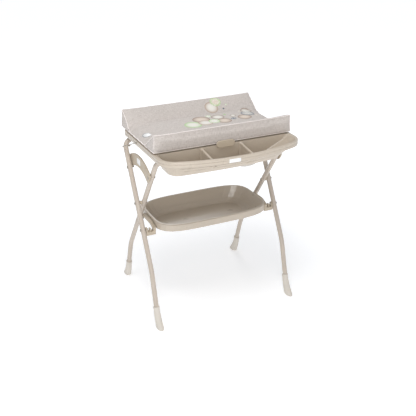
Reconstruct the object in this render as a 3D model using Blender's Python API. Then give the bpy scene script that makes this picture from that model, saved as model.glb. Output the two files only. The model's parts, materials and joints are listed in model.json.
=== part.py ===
"""Folding changing table: a crossed tube stand that carries a baby bath with a front tray, a padded
changing mat that lifts off the bath, and a storage basin slung between the legs.

Metres, +Z up. The origin is on the floor under the middle of the table. -Y is the front, X runs along
the length, and the left side is -X.
"""

from math import atan2, cos, degrees, hypot, pi, radians, sin, sqrt, tan

import bmesh
import bpy
from mathutils import Matrix, Vector

# ---- Stand -------------------------------------------------------------------------------------------
TUBE_R = 0.0125
OUTER_X = 0.376  # centre planes of the outer and inner legs
INNER_X = 0.341
OUTER_FOOT = (-0.2115, 0.050)  # leg centre lines as (y, z): end inside the foot, ankle bend, top bend
OUTER_ANKLE = (-0.150, 0.279)
OUTER_TOP = (0.170, 0.870)
INNER_FOOT = (0.3220, 0.050)
INNER_ANKLE = (0.256, 0.239)
INNER_TOP = (-0.1805, 0.870)
ANKLE_BEND = 0.25
TOP_BEND = 0.042
BUTT_X = 0.290  # where each bent leg meets its cross tube
GAP = 0.0003  # kept between pieces that touch

# ---- Feet --------------------------------------------------------------------------------------------
FOOT_HEIGHT = 0.102
FOOT_COLLAR_R = 0.0166
FOOT_HALF_WIDTH = 0.0185
FOOT_HALF_LENGTH = 0.031
FRONT_FOOT_Y = -0.244  # middle of the tread
REAR_FOOT_Y = 0.348
FOOT_SOCKET_FLOOR = 0.046

# ---- Rivets and rods ---------------------------------------------------------------------------------
RIVET_R = 0.004
RIVET_HEAD_R = 0.0075
RIVET_HEAD = 0.003
BORE_CLEARANCE = 0.0004
STAY_R = 0.0022
STAY_Z = 0.842  # of its pivot in the outer leg
STAY_TIP = (0.015, 0.904)
STAY_X = (0.3545, 0.3945, 0.3683)  # inner end, outside the leg, beside the bath's rim
BASIN_PIVOT_Z = 0.465
BASIN_PEG_Z = 0.450
PEG_R = 0.005

# ---- Lock arms ---------------------------------------------------------------------------------------
LOCK_X = (0.3553, 0.3618)
LOCK_RADII = (0.190, 0.250)  # about the leg pivot
LOCK_REAR = 57.0  # degrees from +Y, about the leg pivot
LOCK_FRONT = 129.0
LOCK_STUD_R = 0.0045

# ---- Bath and tray -----------------------------------------------------------------------------------
RIM_TOP = 0.9125
RIM_SKIRT = 0.886  # lower edge of the skirt
RIM_PROFILE = (  # (inset, height) up the band: a groove parts its lower half from the rolled lip
    (0.0015, RIM_SKIRT),
    (0.0, RIM_SKIRT + 0.0015),
    (0.0, 0.8980),
    (0.0013, 0.8988),
    (0.0013, 0.9002),
    (0.0, 0.9010),
    (0.0, 0.9085),
    (0.0012, 0.9113),
    (0.0040, RIM_TOP),
)
WALL = 0.003
RIM_HALF_X = 0.3655
RIM_REAR_Y = 0.228
RIM_REAR_CORNER = 0.045
RIM_FRONT_Y = -0.377
BOW_RADIUS = 0.93
RIM_FRONT_CORNER = 0.090
BATH_HALF_X = (0.318, 0.195)  # of the hollow, at the rim and at the floor
BATH_Y = (-0.163, 0.142)
BATH_FLOOR_Y = (-0.096, 0.080)
BATH_FLOOR = 0.768
BATH_SQUARENESS = 5.0
TRAY_REAR_Y = -0.2005
TRAY_FLOOR = 0.842
TRAY_HALF_X = (0.3495, 0.2725)  # of the hollow, at the rim and at the floor
TRAY_SHIFT = -0.0475  # the floor sits to the left of the rim
TRAY_FRONT_Y = (-0.366, -0.324)
TRAY_CORNER = (0.075, 0.045)
TRAY_BOW = (0.919, 2.3)
TRAY_NOTCH = (0.045, 0.083)  # along X, in the tray's lower front edge
FIN_X = (-0.122, 0.084)
FIN_HALF = 0.0055
FIN_CREST_R = 0.0066
FIN_POST_R = 0.0095
FIN_STEPS = 8
FIN_TOP = (0.9085, 0.893)  # rear and front heights of the dividers
DRAIN = (0.160, -0.008)
DRAIN_R = 0.017

# ---- Mat ---------------------------------------------------------------------------------------------
MAT_HALF_X = 0.3635
MAT_Y = (-0.200, 0.246)
MAT_BOTTOM = 0.9198
MAT_TOP = 1.010
MAT_BED = 0.947  # where the baby lies
BOLSTER_FOOT = 0.098  # width of a bolster at the bed
BOARD_Z = (0.9130, 0.9194)
BOARD_Y = (-0.188, 0.2305)
BOARD_HALF_X = 0.352
MAT_HINGE_X = 0.240
MAT_HINGE_Y = 0.2365
MAT_HINGE_Z = 0.9143

# ---- Basin -------------------------------------------------------------------------------------------
BASIN_RIM = 0.500
BASIN_SKIRT = 0.464
BASIN_MIDDLE_Y = 0.0365
BASIN_HALF = (0.311, 0.1825)
BASIN_LIP = 0.012
BASIN_FLOOR = 0.415
BASIN_FLOOR_HALF_X = 0.240
BASIN_FLOOR_Y = (0.000, 0.176)  # the front wall slopes far more than the rear one
BASIN_SQUARENESS = 4.3
BRACKET_X = (0.3118, 0.3255)


def clear_scene():
    for obj in list(bpy.data.objects):
        bpy.data.objects.remove(obj, do_unlink=True)


clear_scene()
TABLE = bpy.data.collections.new("changing_table")
CUTTERS = bpy.data.collections.new("cutters")
bpy.context.scene.collection.children.link(TABLE)
bpy.context.scene.collection.children.link(CUTTERS)


# ---- Materials ---------------------------------------------------------------------------------------
def material(name, colour, roughness, metallic=0.0):
    made = bpy.data.materials.new(name)
    made.use_nodes = True
    made.diffuse_color = (*colour, 1.0)
    shader = made.node_tree.nodes["Principled BSDF"]
    shader.inputs["Base Color"].default_value = (*colour, 1.0)
    shader.inputs["Roughness"].default_value = roughness
    shader.inputs["Metallic"].default_value = metallic
    return made


PAINT = material("beige_paint", (0.50, 0.44, 0.37), 0.38, 0.15)
PLASTIC = material("taupe_plastic", (0.52, 0.45, 0.35), 0.35)
FOOT_PLASTIC = material("foot_plastic", (0.58, 0.53, 0.43), 0.50)
COVER = material("mat_cover", (0.62, 0.57, 0.54), 0.60)
BOARD = material("board", (0.55, 0.50, 0.43), 0.60)
STEEL = material("zinc_steel", (0.55, 0.53, 0.50), 0.35, 0.9)
HOSE = material("clear_hose", (0.85, 0.86, 0.86), 0.25)


# ---- Building blocks ---------------------------------------------------------------------------------
def place(name, mesh, look):
    obj = bpy.data.objects.new(name, mesh)
    mesh.materials.append(look)
    TABLE.objects.link(obj)
    return obj


def mesh_from(form, name):
    bmesh.ops.recalc_face_normals(form, faces=form.faces)
    mesh = bpy.data.meshes.new(name)
    form.to_mesh(mesh)
    form.free()
    mesh.shade_smooth()
    mesh.set_sharp_from_angle(angle=radians(32))
    return mesh


def box_mesh(name, low, high):
    form = bmesh.new()
    bmesh.ops.create_cube(form, size=1.0)
    size = Vector(high) - Vector(low)
    middle = (Vector(high) + Vector(low)) / 2
    bmesh.ops.scale(form, vec=size, verts=form.verts)
    bmesh.ops.translate(form, vec=middle, verts=form.verts)
    return mesh_from(form, name)


def cylinder_mesh(name, start, end, radius, sides=20, end_radius=None):
    form = bmesh.new()
    start, end = Vector(start), Vector(end)
    along = end - start
    bmesh.ops.create_cone(
        form,
        cap_ends=True,
        segments=sides,
        radius1=radius,
        radius2=radius if end_radius is None else end_radius,
        depth=along.length,
    )
    turn = Vector((0, 0, 1)).rotation_difference(along.normalized()).to_matrix().to_4x4()
    bmesh.ops.transform(form, matrix=Matrix.Translation((start + end) / 2) @ turn, verts=form.verts)
    return mesh_from(form, name)


def prism_mesh(name, outline, x_low, x_high):
    """A flat outline of (y, z) points, given a thickness along X."""
    form = bmesh.new()
    face = form.faces.new([form.verts.new((x_low, y, z)) for y, z in outline])
    swept = bmesh.ops.extrude_face_region(form, geom=[face])
    moved = [item for item in swept["geom"] if isinstance(item, bmesh.types.BMVert)]
    bmesh.ops.translate(form, vec=(x_high - x_low, 0, 0), verts=moved)
    return mesh_from(form, name)


def loft_mesh(name, rings):
    """A closed solid through rings of equally many points, with a flat cap on its two ends."""
    form = bmesh.new()
    rows = [[form.verts.new(point) for point in ring] for ring in rings]
    count = len(rows[0])
    for row, following in zip(rows, rows[1:]):
        for i in range(count):
            j = (i + 1) % count
            form.faces.new((row[i], row[j], following[j], following[i]))
    form.faces.new(reversed(rows[0]))
    form.faces.new(rows[-1])
    return mesh_from(form, name)


def tube_mesh(name, points, radius, bevel_resolution=6):
    """A round tube along the points, as a welded mesh that can be drilled."""
    curve = bpy.data.curves.new(name, "CURVE")
    curve.dimensions = "3D"
    curve.bevel_depth = radius
    curve.bevel_resolution = bevel_resolution
    curve.use_fill_caps = True
    spline = curve.splines.new("POLY")
    spline.points.add(len(points) - 1)
    for slot, point in zip(spline.points, points):
        slot.co = (*point, 1.0)
    guide = bpy.data.objects.new(name + "_guide", curve)
    CUTTERS.objects.link(guide)
    graph = bpy.context.evaluated_depsgraph_get()
    mesh = bpy.data.meshes.new_from_object(guide.evaluated_get(graph))
    bpy.data.objects.remove(guide, do_unlink=True)
    form = bmesh.new()
    form.from_mesh(mesh)
    bmesh.ops.remove_doubles(form, verts=form.verts, dist=1e-6)
    bpy.data.meshes.remove(mesh)
    return mesh_from(form, name)


def combine(obj, operation, mesh):
    """Cuts the mesh from an object, or joins it to the object, with a Boolean."""
    other = bpy.data.objects.new(f"{obj.name}_{operation.lower()}_{len(obj.modifiers)}", mesh)
    CUTTERS.objects.link(other)
    other.hide_render = True
    other.display_type = "WIRE"
    modifier = obj.modifiers.new(f"{operation.lower()}_{len(obj.modifiers)}", "BOOLEAN")
    modifier.operation = operation
    modifier.solver = "EXACT"
    modifier.object = other


def rivet_head(name, start, end):
    """A low cone, widest at the face that it lies on."""
    return cylinder_mesh(name, start, end, RIVET_HEAD_R, 16, RIVET_HEAD_R * 0.7)


def cut(obj, mesh):
    combine(obj, "DIFFERENCE", mesh)


def join(obj, mesh):
    combine(obj, "UNION", mesh)


def side_name(side):
    return "left" if side < 0 else "right"


def x_span(side, low, high):
    """The two X values, lower first, of a span given for the right side."""
    return sorted((side * low, side * high))


# ---- Lines and outlines ------------------------------------------------------------------------------
def filleted(corners, radii, segments):
    """A path through the corners, each inner one rounded to its radius by an arc."""
    corners = [Vector(corner) for corner in corners]
    path = [corners[0]]
    for before, corner, after, radius, count in zip(corners, corners[1:], corners[2:], radii, segments):
        first = (before - corner).normalized()
        second = (after - corner).normalized()
        half = first.angle(second) / 2
        middle = corner + (first + second).normalized() * (radius / sin(half))
        start = corner + first * (radius / tan(half)) - middle
        end = corner + second * (radius / tan(half)) - middle
        for step in range(count + 1):
            path.append(middle + start.slerp(end, step / count) * radius)
    path.append(corners[-1])
    return path


def on_leg(ankle, top, z):
    """The (y, z) point of a leg's straight middle stretch at a height."""
    return (ankle[0] + (top[0] - ankle[0]) * (z - ankle[1]) / (top[1] - ankle[1]), z)


def crossing():
    """Where the straight stretches of the outer and inner legs cross, seen from the side."""
    outer_slope = (OUTER_TOP[0] - OUTER_ANKLE[0]) / (OUTER_TOP[1] - OUTER_ANKLE[1])
    inner_slope = (INNER_TOP[0] - INNER_ANKLE[0]) / (INNER_TOP[1] - INNER_ANKLE[1])
    outer_start = OUTER_ANKLE[0] - outer_slope * OUTER_ANKLE[1]
    inner_start = INNER_ANKLE[0] - inner_slope * INNER_ANKLE[1]
    return on_leg(OUTER_ANKLE, OUTER_TOP, (inner_start - outer_start) / (outer_slope - inner_slope))


LEG_PIVOT = crossing()
BASIN_PIVOT = on_leg(OUTER_ANKLE, OUTER_TOP, BASIN_PIVOT_Z)
BASIN_PEG = on_leg(INNER_ANKLE, INNER_TOP, BASIN_PEG_Z)
STAY_PIVOT = on_leg(OUTER_ANKLE, OUTER_TOP, STAY_Z)


def about_pivot(radius, angle):
    return (LEG_PIVOT[0] + radius * cos(radians(angle)), LEG_PIVOT[1] + radius * sin(radians(angle)))


def direction_from_pivot(point):
    return degrees(atan2(point[1] - LEG_PIVOT[1], point[0] - LEG_PIVOT[0]))


LOCK_MIDDLE_R = sum(LOCK_RADII) / 2
LOCK_PIVOT = about_pivot(LOCK_MIDDLE_R, direction_from_pivot(INNER_TOP))
LOCK_STUD = about_pivot(LOCK_RADII[0] - LOCK_STUD_R - 2 * GAP, direction_from_pivot(OUTER_TOP))


def squircle(half_x, low_y, high_y, z, squareness, count=64):
    """A ring between a rectangle and an ellipse, as a superellipse."""
    middle = (low_y + high_y) / 2
    half_y = (high_y - low_y) / 2
    ring = []
    for i in range(count):
        angle = 2 * pi * (i + 0.5) / count
        c, s = cos(angle), sin(angle)
        scale = (abs(c) ** squareness + abs(s) ** squareness) ** (-1 / squareness)
        ring.append((half_x * c * scale, middle + half_y * s * scale, z))
    return ring


def arc(centre, radius, start, end, count):
    angles = [radians(start + (end - start) * i / count) for i in range(count + 1)]
    return [(centre[0] + radius * cos(a), centre[1] + radius * sin(a)) for a in angles]


def bowed_front(half_x, front_y, corner, rear_y, rear_corner, bow=BOW_RADIUS):
    """A plan outline with a bowed front, as (x, y) points anticlockwise from the rear right corner."""
    bow_y = front_y + bow
    corner_x = half_x - corner
    corner_y = bow_y - sqrt((bow - corner) ** 2 - corner_x**2)
    meet = degrees(atan2(corner_y - bow_y, corner_x))
    rear = (half_x - rear_corner, rear_y - rear_corner)
    points = arc(rear, rear_corner, 0, 90, 4)
    points += arc((-rear[0], rear[1]), rear_corner, 90, 180, 4)
    points += arc((-corner_x, corner_y), corner, 180, 180 - meet, 8)
    points += arc((0, bow_y), bow, -180 - meet, meet, 16)[1:-1]
    points += arc((corner_x, corner_y), corner, meet, 0, 8)
    return points


def at_height(outline, z):
    return [(x, y, z) for x, y in outline]


# ---- Stand: legs, cross tubes, rivets ----------------------------------------------------------------
def leg(name, side, x, foot, ankle, top, bores):
    corners = [
        (side * x, *foot),
        (side * x, *ankle),
        (side * x, *top),
        (side * (BUTT_X + GAP), *top),
    ]
    path = filleted(corners, (ANKLE_BEND, TOP_BEND), (7, 7))
    obj = place(name, tube_mesh(name, path, TUBE_R), PAINT)
    for (y, z), radius in bores:
        reach = x_span(side, x - 2 * TUBE_R, x + 2 * TUBE_R)
        ends = ((reach[0], y, z), (reach[1], y, z))
        cut(obj, cylinder_mesh(name + "_bore", *ends, radius + BORE_CLEARANCE, 12))
    return obj


def cross_tube(name, y, z):
    return place(name, tube_mesh(name, [(-BUTT_X, y, z), (BUTT_X, y, z)], TUBE_R), PAINT)


def rivet(name, side, y, z, inner, outer, heads=(True, True), radius=RIVET_R):
    """A pin along X from inner to outer, with a round head past each end that has one."""
    reach = [RIVET_HEAD / 3 if has_head else 0 for has_head in heads]
    low, high = x_span(side, inner - reach[0], outer + reach[1])
    obj = place(name, cylinder_mesh(name, (low, y, z), (high, y, z), radius, 16), STEEL)
    for has_head, start, out in zip(heads, (inner, outer), (-1, 1)):
        if not has_head:
            continue
        start_x = side * start
        end_x = side * (start + out * RIVET_HEAD)
        head = rivet_head(name + "_head", (start_x, y, z), (end_x, y, z))
        join(obj, head)
    return obj


def leg_spacer(side):
    y, z = LEG_PIVOT
    name = f"leg_spacer_{side_name(side)}"
    start, end = x_span(side, INNER_X + TUBE_R + GAP, OUTER_X - TUBE_R - GAP)
    obj = place(name, cylinder_mesh(name, (start, y, z), (end, y, z), 0.0095, 20), PLASTIC)
    bore_r = RIVET_R + BORE_CLEARANCE
    cut(obj, cylinder_mesh(name + "_bore", (start - WALL, y, z), (end + WALL, y, z), bore_r, 12))
    return obj


def foot(name, side, x, leg_line, tread_y):
    """A flared boot. Its rings turn from square to the tube at the collar to flat on the floor."""
    (end_y, end_z), (ankle_y, ankle_z) = leg_line
    axis = Vector((0, ankle_y - end_y, ankle_z - end_z)).normalized()
    lean = atan2(axis.y, axis.z)
    tube_end = Vector((side * x, end_y, end_z))
    collar = tube_end + axis * ((FOOT_HEIGHT - end_z) / axis.z)
    count = 24
    # (share of the way down, half width, half length): a collar band, a waist and a flare
    stations = (
        (0.00, FOOT_COLLAR_R, FOOT_COLLAR_R),
        (0.07, FOOT_COLLAR_R, FOOT_COLLAR_R),
        (0.09, FOOT_COLLAR_R * 0.95, FOOT_COLLAR_R * 0.95),
        (0.35, 0.0162, 0.0182),
        (0.65, 0.0172, 0.0232),
        (0.88, 0.0183, 0.0292),
        (0.96, FOOT_HALF_WIDTH, FOOT_HALF_LENGTH),
        (1.00, FOOT_HALF_WIDTH - 0.002, FOOT_HALF_LENGTH - 0.002),
    )
    rings = []
    for share, half_x, half_y in stations:
        middle_y = collar.y + (tread_y - collar.y) * (0.35 * share + 0.65 * share**2)
        middle_z = collar.z * (1 - share)
        turn = lean * (1 - share)
        ring = []
        for i in range(count):
            angle = 2 * pi * i / count
            dx, dy = half_x * cos(angle), half_y * sin(angle)
            ring.append((side * x + dx, middle_y + dy * cos(turn), middle_z - dy * sin(turn)))
        rings.append(ring)
    obj = place(name, loft_mesh(name, rings), FOOT_PLASTIC)
    bottom = tube_end + axis * ((FOOT_SOCKET_FLOOR - end_z) / axis.z)
    top = collar + axis * 0.03
    cut(obj, cylinder_mesh(name + "_socket", bottom, top, TUBE_R + GAP, 20))
    return obj


def stay_cap(side):
    """The push-on cap that keeps a stay wire in its leg."""
    y, z = STAY_PIVOT
    name = f"stay_cap_{side_name(side)}"
    start = side * (OUTER_X - TUBE_R - 0.0050)
    end = side * (STAY_X[0] - 0.003)
    obj = place(name, cylinder_mesh(name, (start, y, z), (end, y, z), 0.0055, 16, 0.0042), PLASTIC)
    hole_end = side * (STAY_X[0] - GAP)
    cut(obj, cylinder_mesh(name + "_bore", (start + side * WALL, y, z), (hole_end, y, z), STAY_R + GAP, 12))
    return obj


def stay_wire(side):
    """A wire from the outside of the outer leg's top to the side of the bath's rim. It turns in the leg."""
    name = f"stay_wire_{side_name(side)}"
    inner, outer, tip = (side * x for x in STAY_X)
    corners = ((inner, *STAY_PIVOT), (outer, *STAY_PIVOT), (tip, *STAY_TIP))
    return place(name, tube_mesh(name, filleted(corners, (0.005,), (5,)), STAY_R, 2), STEEL)


def build_stand():
    pivot = (LEG_PIVOT, RIVET_R)
    outer_bores = (pivot, (STAY_PIVOT, STAY_R), (BASIN_PIVOT, RIVET_R), (LOCK_STUD, LOCK_STUD_R))
    inner_bores = (pivot, (LOCK_PIVOT, RIVET_R), (BASIN_PEG, PEG_R))
    for side in (-1, 1):
        word = side_name(side)
        leg(f"outer_leg_{word}", side, OUTER_X, OUTER_FOOT, OUTER_ANKLE, OUTER_TOP, outer_bores)
        leg(f"inner_leg_{word}", side, INNER_X, INNER_FOOT, INNER_ANKLE, INNER_TOP, inner_bores)
        foot(f"front_foot_{word}", side, OUTER_X, (OUTER_FOOT, OUTER_ANKLE), FRONT_FOOT_Y)
        foot(f"rear_foot_{word}", side, INNER_X, (INNER_FOOT, INNER_ANKLE), REAR_FOOT_Y)
        inner_face = INNER_X - TUBE_R - GAP
        outer_face = OUTER_X + TUBE_R + GAP
        rivet(f"leg_rivet_{word}", side, *LEG_PIVOT, inner_face, outer_face)
        leg_spacer(side)
        stay_cap(side)
        stay_wire(side)
        lug_face = OUTER_X - TUBE_R - 0.0095
        rivet(f"basin_rivet_{word}", side, *BASIN_PIVOT, lug_face, outer_face)
        stud_end = LOCK_X[0] - GAP
        rivet(f"lock_stud_{word}", side, *LOCK_STUD, stud_end, outer_face, (False, True), LOCK_STUD_R)
        peg_end = BRACKET_X[0] + 0.002
        rivet(f"basin_peg_{word}", side, *BASIN_PEG, peg_end, INNER_X + 0.010, (False, False), PEG_R)
        lock_face = LOCK_X[1] + GAP
        lock_rivet(word, side, inner_face, lock_face)
    cross_tube("outer_cross_tube", *OUTER_TOP)
    cross_tube("inner_cross_tube", *INNER_TOP)


def lock_rivet(word, side, inner, outer):
    """The rivet that a lock arm turns on: a thin head outside, so that it clears the outer leg."""
    y, z = LOCK_PIVOT
    name = f"lock_rivet_{word}"
    low, high = x_span(side, inner - RIVET_HEAD / 3, outer + 0.0006)
    obj = place(name, cylinder_mesh(name, (low, y, z), (high, y, z), RIVET_R, 16), STEEL)
    head = ((side * outer, y, z), (side * (outer + 0.001), y, z))
    join(obj, cylinder_mesh(name + "_head", *head, 0.007, 16))
    start_x, end_x = side * inner, side * (inner - RIVET_HEAD)
    join(obj, rivet_head(name + "_tail", (start_x, y, z), (end_x, y, z)))
    return obj


def lock_arm(side):
    """An arched stay, concentric with the leg pivot, from the inner leg to a stud on the outer leg."""
    name = f"lock_arm_{side_name(side)}"
    inner_r, outer_r = LOCK_RADII
    outline = arc(LEG_PIVOT, outer_r, LOCK_REAR + 4, LOCK_FRONT - 3, 20)
    outline += arc(LEG_PIVOT, inner_r, LOCK_FRONT - 3, LOCK_REAR, 20)
    # the front end is rounded about the rivet
    end_angle = LOCK_FRONT - 3
    middle = about_pivot(LOCK_MIDDLE_R, end_angle)
    half = (outer_r - inner_r) / 2
    cap = arc(middle, half, end_angle, end_angle + 180, 8)[1:-1]
    outline = outline[:21] + flattened(cap, middle, end_angle, 0.35) + outline[21:]
    obj = place(name, prism_mesh(name, outline, *x_span(side, *LOCK_X)), PLASTIC)
    y, z = LOCK_PIVOT
    low, high = x_span(side, LOCK_X[0] - WALL, LOCK_X[1] + WALL)
    cut(obj, cylinder_mesh(name + "_bore", (low, y, z), (high, y, z), RIVET_R + BORE_CLEARANCE, 16))
    return obj


def flattened(points, middle, angle, share):
    """Points squeezed towards a line through the middle, to a share of their distance along its normal."""
    across = (-sin(radians(angle)), cos(radians(angle)))
    squeezed = []
    for y, z in points:
        away = (y - middle[0]) * across[0] + (z - middle[1]) * across[1]
        squeezed.append((y - across[0] * away * (1 - share), z - across[1] * away * (1 - share)))
    return squeezed


# ---- Bath with its tray ------------------------------------------------------------------------------
def bath_bowl(name, grow, top_z, floor_z):
    """The bath's hollow, or its outside when grown by the wall. Rings ease round the foot of the wall."""
    top_half, floor_half = BATH_HALF_X
    rings = []
    for share, lift in ((-0.06, 0.0), (0.0, 0.0), (0.45, 0.0), (0.80, 0.0), (0.93, 0.30), (1.0, 1.0)):
        depth = min(share, 1.0)
        z = RIM_TOP + (floor_z - RIM_TOP) * depth
        if share < 0:
            z = top_z
            depth = 0.0
        inset = 0.012 * lift
        half_x = top_half + (floor_half - top_half) * depth + grow - inset
        low_y = BATH_Y[0] + (BATH_FLOOR_Y[0] - BATH_Y[0]) * depth - grow + inset
        high_y = BATH_Y[1] + (BATH_FLOOR_Y[1] - BATH_Y[1]) * depth + grow - inset
        rings.append(squircle(half_x, low_y, high_y, z, BATH_SQUARENESS))
    return loft_mesh(name, rings)


def between(pair, share):
    return pair[0] + (pair[1] - pair[0]) * share


def tray_bow(share):
    """The bow's radius in plan at a share of the taper. Its curvature changes evenly."""
    return 1 / between((1 / TRAY_BOW[0], 1 / TRAY_BOW[1]), share)


def tray_front_y(x, share, grow):
    """Where the tray's bowed front wall is at an x and a share of the taper."""
    radius = tray_bow(share) + grow
    return between(TRAY_FRONT_Y, share) - grow + radius - sqrt(radius**2 - x**2)


TRAY_LEVELS = ((-0.1, 0.0), (0.0, 0.0), (0.36, 0.22), (0.85, 0.80), (0.96, 0.93), (1.0, 1.12))


def tray_body(name, grow, top_z, floor_z):
    """The tray's hollow, or its outside when grown by the wall."""
    rings = []
    for depth, taper in TRAY_LEVELS:
        z = top_z if depth < 0 else between((RIM_TOP, floor_z), depth)
        outline = bowed_front(
            between(TRAY_HALF_X, taper) + grow,
            between(TRAY_FRONT_Y, taper) - grow,
            between(TRAY_CORNER, taper) + grow,
            TRAY_REAR_Y + grow,
            0.012,
            tray_bow(taper) + grow,
        )
        rings.append([(x + TRAY_SHIFT * taper, y, z) for x, y in outline])
    return loft_mesh(name, rings)


def fin_profile(fin_x):
    """A divider's side view: its top sweeps down from the bath to the front of the tray."""
    rear_z, front_z = FIN_TOP
    half_wall = WALL / 2
    depth, taper = TRAY_LEVELS[2]
    rear_y = TRAY_REAR_Y + half_wall
    front_y = tray_front_y(fin_x, taper * (RIM_TOP - front_z) / (RIM_TOP - TRAY_FLOOR) / depth, half_wall)
    outline = []
    for i in range(FIN_STEPS + 1):
        share = i / FIN_STEPS
        sag = sin(share * pi / 2)
        outline.append((between((rear_y, front_y), share), between((rear_z, front_z), sag)))
    for depth, taper in TRAY_LEVELS[2:-1]:
        wall_z = between((RIM_TOP, TRAY_FLOOR - half_wall), depth)
        outline.append((tray_front_y(fin_x, taper, half_wall), wall_z))
    floor_y = tray_front_y(fin_x, TRAY_LEVELS[-1][1], 0.0)
    return outline + [(floor_y, TRAY_FLOOR - half_wall), (rear_y, TRAY_FLOOR - half_wall)]


def divider(bath, fin_x):
    """A wall across the tray, with a rounded top edge and a round post at the rear."""
    outline = fin_profile(fin_x)
    join(bath, prism_mesh("fin", outline, fin_x - FIN_HALF, fin_x + FIN_HALF))
    crest = [(fin_x, y, z - FIN_CREST_R / 2) for y, z in outline[: FIN_STEPS + 1]]
    join(bath, tube_mesh("fin_crest", crest, FIN_CREST_R, 2))
    post_y = TRAY_REAR_Y - 0.003
    heights = (TRAY_FLOOR - 0.001, FIN_TOP[0] - 0.001, FIN_TOP[0] + 0.0015)
    low, shoulder, high = ((fin_x, post_y, z) for z in heights)
    join(bath, cylinder_mesh("fin_post", low, shoulder, FIN_POST_R, 20))
    cap_foot = (fin_x, post_y, shoulder[2] - 0.002)
    join(bath, cylinder_mesh("fin_post_cap", cap_foot, high, FIN_POST_R + 0.0006, 20, FIN_POST_R - 0.0030))


def rim_outline(inset):
    """The rim seen from above, drawn in by the inset."""
    return bowed_front(
        RIM_HALF_X - inset,
        RIM_FRONT_Y + inset,
        RIM_FRONT_CORNER - inset,
        RIM_REAR_Y - inset,
        RIM_REAR_CORNER - inset,
    )


def build_bath():
    rings = [at_height(rim_outline(inset), z) for inset, z in RIM_PROFILE]
    bath = place("bath_tub", loft_mesh("bath_tub", rings), PLASTIC)
    inner = rim_outline(WALL)
    pocket = [at_height(inner, RIM_SKIRT - 0.01), at_height(inner, RIM_TOP - WALL)]
    cut(bath, loft_mesh("rim_pocket", pocket))
    join(bath, bath_bowl("bath_outside", WALL, RIM_TOP - WALL / 2, BATH_FLOOR - WALL))
    join(bath, tray_body("tray_outside", WALL, RIM_TOP - WALL / 2, TRAY_FLOOR - WALL))
    cut(bath, bath_bowl("bath_hollow", 0.0, RIM_TOP + 0.02, BATH_FLOOR))
    cut(bath, tray_body("tray_hollow", 0.0, RIM_TOP + 0.02, TRAY_FLOOR))
    for fin_x in FIN_X:
        divider(bath, fin_x)
    notch_low = (TRAY_NOTCH[0], RIM_FRONT_Y, TRAY_FLOOR - 0.02)
    notch_high = (TRAY_NOTCH[1], TRAY_FRONT_Y[1] - 0.010, RIM_SKIRT - 0.026)
    cut(bath, box_mesh("notch", notch_low, notch_high))
    x, y = DRAIN
    hole = ((x, y, BATH_FLOOR - 0.02), (x, y, BATH_FLOOR + 0.02))
    cut(bath, cylinder_mesh("drain_hole", *hole, DRAIN_R, 24))
    return bath


def tub_hinge(side):
    """A clip that hangs under the bath's rear rim and turns on the outer frame's cross tube."""
    name = f"tub_hinge_{side_name(side)}"
    y, z = OUTER_TOP
    x_low, x_high = x_span(side, 0.225, 0.255)
    top = RIM_TOP - WALL - GAP
    ring_r = TUBE_R + 0.0055
    outline = arc((y, z), ring_r, 180, 360, 12)
    outline += [(y + ring_r + 0.008, z + 0.012), (y + ring_r + 0.008, top)]
    outline += [(y - ring_r + 0.004, top), (y - ring_r, z + 0.014)]
    obj = place(name, prism_mesh(name, outline, x_low, x_high), PLASTIC)
    cut(obj, cylinder_mesh(name + "_bore", (x_low - WALL, y, z), (x_high + WALL, y, z), TUBE_R + GAP, 24))
    return obj


def build_drain():
    x, y = DRAIN
    top = BATH_FLOOR + 0.0018
    flange = cylinder_mesh("drain_fitting", (x, y, BATH_FLOOR + GAP), (x, y, top), 0.022, 24)
    fitting = place("drain_fitting", flange, PLASTIC)
    join(fitting, cylinder_mesh("spigot", (x, y, 0.745), (x, y, BATH_FLOOR + 0.001), DRAIN_R - GAP, 24))
    cut(fitting, cylinder_mesh("waterway", (x, y, 0.74), (x, y, 0.775), 0.010, 20))
    cap = cylinder_mesh("drain_plug", (x, y, top + GAP), (x, y, top + 0.0032), 0.018, 24)
    plug = place("drain_plug", cap, PLASTIC)
    join(plug, cylinder_mesh("plug_stem", (x, y, 0.760), (x, y, top + 0.001), 0.0092, 20))
    join(plug, cylinder_mesh("plug_knob", (x, y, top + 0.002), (x, y, top + 0.012), 0.005, 16, 0.007))


HOSE_ROUTE = (
    (0.1600, -0.008, 0.7440),
    (0.1610, -0.010, 0.7350),
    (0.1655, -0.013, 0.7230),
    (0.1745, -0.017, 0.7130),
    (0.1890, -0.021, 0.7065),
    (0.2080, -0.025, 0.7040),
    (0.2290, -0.028, 0.7045),
    (0.2500, -0.030, 0.7085),
    (0.2680, -0.031, 0.7175),
    (0.2810, -0.031, 0.7320),
    (0.2875, -0.030, 0.7500),
    (0.2890, -0.028, 0.7700),
    (0.2890, -0.028, 0.7900),
)
HOSE_R = 0.0075


def smooth_route(points, steps=4):
    """Points along a Catmull-Rom curve through the given ones."""
    points = [Vector(point) for point in points]
    padded = [2 * points[0] - points[1], *points, 2 * points[-1] - points[-2]]
    curve = []
    for a, b, c, d in zip(padded, padded[1:], padded[2:], padded[3:]):
        for step in range(steps):
            t = step / steps
            bend = 2 * a - 5 * b + 4 * c - d
            twist = 3 * b - a - 3 * c + d
            curve.append(0.5 * (2 * b + (c - a) * t + bend * t**2 + twist * t**3))
    return curve + [points[-1]]


def build_hose():
    place("drain_hose", tube_mesh("drain_hose", smooth_route(HOSE_ROUTE, 3), HOSE_R, 3), HOSE)
    x, y, z = HOSE_ROUTE[-1]
    # the plug that closes the parked end, on a stalk under the end of the bath
    stopper = cylinder_mesh("hose_holder", (x, y, z + GAP), (x, y, z + 0.014), 0.0105, 20)
    holder = place("hose_holder", stopper, PLASTIC)
    join(holder, box_mesh("stalk", (x - 0.005, y - 0.008, z + 0.010), (x + 0.007, y + 0.008, z + 0.092)))
    cut(holder, bath_bowl("bath_clearance", WALL + GAP, RIM_TOP + 0.02, BATH_FLOOR - WALL - GAP))


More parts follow.
